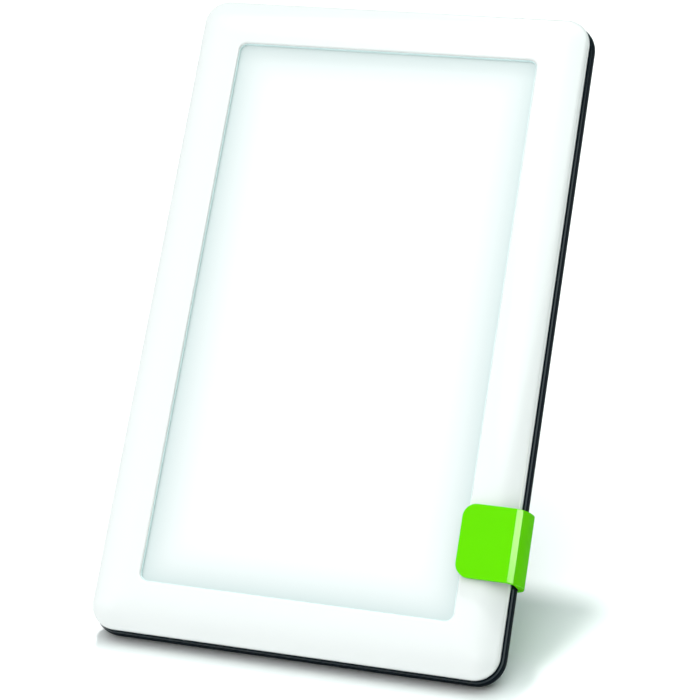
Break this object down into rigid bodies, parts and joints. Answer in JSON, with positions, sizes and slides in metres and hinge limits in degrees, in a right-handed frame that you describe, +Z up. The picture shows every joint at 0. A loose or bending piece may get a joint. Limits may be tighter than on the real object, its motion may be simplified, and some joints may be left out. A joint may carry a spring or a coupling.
{
  "type": "light therapy lamp",
  "caption": "Slim tablet-shaped light therapy lamp with an opal window, leaning on a green clip-on folding stand.",
  "frame": {"origin": "centre of the lamp's outline seen from above, at the level of the surface it stands on", "axes": "+Z up from the table, +X to the right across the lit face, +Y away from the user, the way the lamp leans"},
  "size_m": [0.1616, 0.1574, 0.2165],
  "materials": {
    "white_gloss_abs": "glossy",
    "black_satin_abs": "satin",
    "opal_acrylic": "opal, glowing",
    "black_foam": "matte",
    "white_reflector": "matte",
    "white_board": "white solder mask",
    "aluminium_sheet": "rolled",
    "green_circuit_board": "solder mask",
    "black_sleeve": "satin",
    "red_insulation": "satin",
    "ferrite": "matte",
    "black_epoxy": "matte",
    "natural_nylon": "satin",
    "zinc_plated_steel": "plated",
    "grey_button_abs": "fine texture",
    "black_rubber": "matte",
    "lime_green_abs": "satin gloss"
  },
  "bodies": {
    "lamp": {"front_frame": "white_gloss_abs", "rear_housing": "black_satin_abs", "diffuser_plate": "opal_acrylic", "diffuser_gasket": "black_foam", "reflector_tray": "white_reflector", "led_board": "white_board", "heat_spreader": "aluminium_sheet", "board_screw_1": "zinc_plated_steel", "board_screw_2": "zinc_plated_steel", "board_screw_3": "zinc_plated_steel", "board_screw_4": "zinc_plated_steel", "driver_board": "green_circuit_board", "driver_screw_1": "zinc_plated_steel", "driver_screw_2": "zinc_plated_steel", "driver_chip": "black_epoxy", "input_capacitor": "black_sleeve", "output_capacitor": "black_sleeve", "inductor": "ferrite", "led_connector": "natural_nylon", "led_lead_red": "red_insulation", "led_lead_black": "black_sleeve", "tact_switch": "black_epoxy", "dc_socket": "black_epoxy", "housing_screw_1": "zinc_plated_steel", "housing_screw_2": "zinc_plated_steel", "housing_screw_3": "zinc_plated_steel", "housing_screw_4": "zinc_plated_steel", "housing_screw_5": "zinc_plated_steel", "housing_screw_6": "zinc_plated_steel", "foot_left": "black_rubber", "foot_right": "black_rubber"},
    "power_button": {"power_button": "grey_button_abs"},
    "stand_clip": {"stand_clip": "lime_green_abs", "hinge_pin": "zinc_plated_steel", "friction_washer_lower": "natural_nylon", "friction_washer_upper": "natural_nylon"},
    "stand_leg": {"stand_leg": "lime_green_abs", "leg_sole": "black_rubber"}
  },
  "joints": [
    {"name": "clip_slide", "type": "slide", "parent": "lamp", "child": "stand_clip", "axis": [1, 0, 0], "range_m": [0, 0.024]},
    {"name": "leg_fold", "type": "hinge", "parent": "stand_clip", "child": "stand_leg", "pos_m": [0.00654, -0.03426, 0.03622], "axis": [0, 0.5736, 0.8192], "range_deg": [0, 90]},
    {"name": "button_push", "type": "slide", "parent": "lamp", "child": "power_button", "axis": [0, -0.8192, 0.5736], "range_m": [0, 0.0005], "stiffness_N_per_m": 2000, "springref_m": -0.0004}
  ]
}
